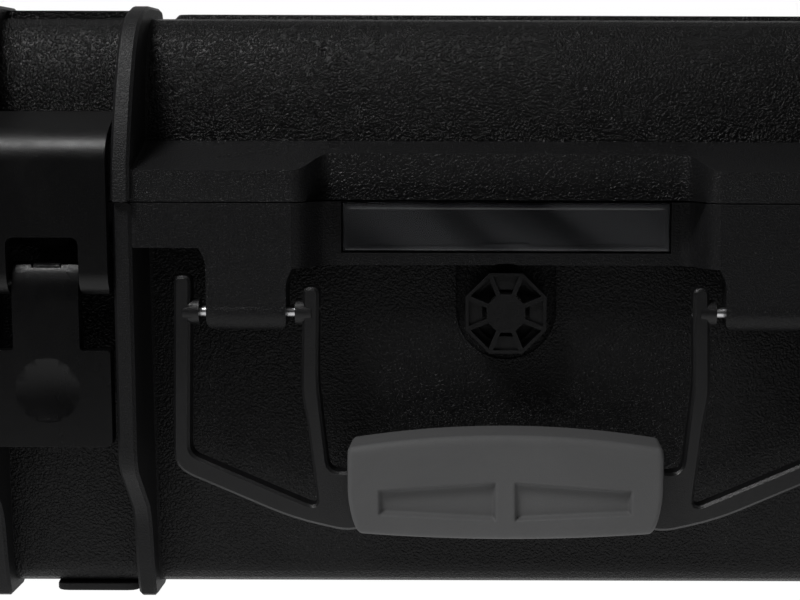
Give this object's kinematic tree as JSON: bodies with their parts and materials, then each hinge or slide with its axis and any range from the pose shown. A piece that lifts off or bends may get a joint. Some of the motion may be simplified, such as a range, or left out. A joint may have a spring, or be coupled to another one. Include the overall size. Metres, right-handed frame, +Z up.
{
  "type": "protective hard case",
  "caption": "Rectangular hard-shell case with a hinged ribbed lid, front draw latches, a swinging carry handle with a soft grip, a pressure vent and a clear label slot.",
  "frame": {"origin": "on the floor, under the middle of the whole object's box", "axes": "+Z up, +X along the front to the right of someone who faces the latches, -Y out of the front"},
  "size_m": [0.516, 0.4308, 0.2283],
  "materials": {
    "shell": "black moulded polypropylene with a fine leather-like grain",
    "latch": "black moulded plastic, satin",
    "handle": "black moulded plastic, satin",
    "fitting": "black moulded plastic, satin",
    "grip": "dark grey soft rubber, matt",
    "seal": "black elastomer",
    "foot": "black rubber",
    "steel": "drawn steel pin",
    "window": "smoky clear plastic",
    "card": "dark paper card, blank",
    "membrane": "white breathable membrane"
  },
  "bodies": {
    "base": {"base_shell": "shell", "foot_front_left": "foot", "foot_front_right": "foot", "foot_rear_left": "foot", "foot_rear_right": "foot", "label_card": "card", "label_window": "window", "valve_cap": "fitting", "valve_body": "fitting", "valve_membrane": "membrane", "valve_o_ring": "seal", "valve_nut": "fitting", "handle_pin_left": "steel", "handle_pin_right": "steel", "hinge_pin_left": "steel", "hinge_pin_right": "steel", "latch_base_pin_left": "steel", "latch_base_pin_right": "steel"},
    "lid": {"lid_shell": "shell", "lid_seal": "seal"},
    "handle": {"handle_frame": "handle", "handle_grip": "grip"},
    "lever_left": {"latch_lever_left": "latch", "latch_link_pin_left": "steel"},
    "lever_right": {"latch_lever_right": "latch", "latch_link_pin_right": "steel"},
    "hook_left": {"latch_hook_left": "latch"},
    "hook_right": {"latch_hook_right": "latch"}
  },
  "joints": [
    {"name": "lid_hinge", "type": "hinge", "parent": "base", "child": "lid", "pos_m": [0, 0.2104, 0.1561], "axis": [-1, 0, 0], "range_deg": [0, 105]},
    {"name": "handle_swing", "type": "hinge", "parent": "base", "child": "handle", "pos_m": [0, -0.2016, 0.1156], "axis": [-1, 0, 0], "range_deg": [0, 100]},
    {"name": "latch_left_lever", "type": "hinge", "parent": "base", "child": "lever_left", "pos_m": [-0.1678, -0.2031, 0.1312], "axis": [-1, 0, 0], "range_deg": [0, 90]},
    {"name": "latch_right_lever", "type": "hinge", "parent": "base", "child": "lever_right", "pos_m": [0.1678, -0.2031, 0.1312], "axis": [-1, 0, 0], "range_deg": [0, 90]},
    {"name": "latch_left_hook", "type": "hinge", "parent": "lever_left", "child": "hook_left", "pos_m": [-0.1678, -0.2025, 0.1264], "axis": [-1, 0, 0], "range_deg": [-120, 0]},
    {"name": "latch_right_hook", "type": "hinge", "parent": "lever_right", "child": "hook_right", "pos_m": [0.1678, -0.2025, 0.1264], "axis": [-1, 0, 0], "range_deg": [-120, 0]}
  ],
  "couplings": [
    {"joint": "latch_left_hook", "follows": "latch_left_lever", "ratio": -1.3333},
    {"joint": "latch_right_hook", "follows": "latch_right_lever", "ratio": -1.3333}
  ]
}
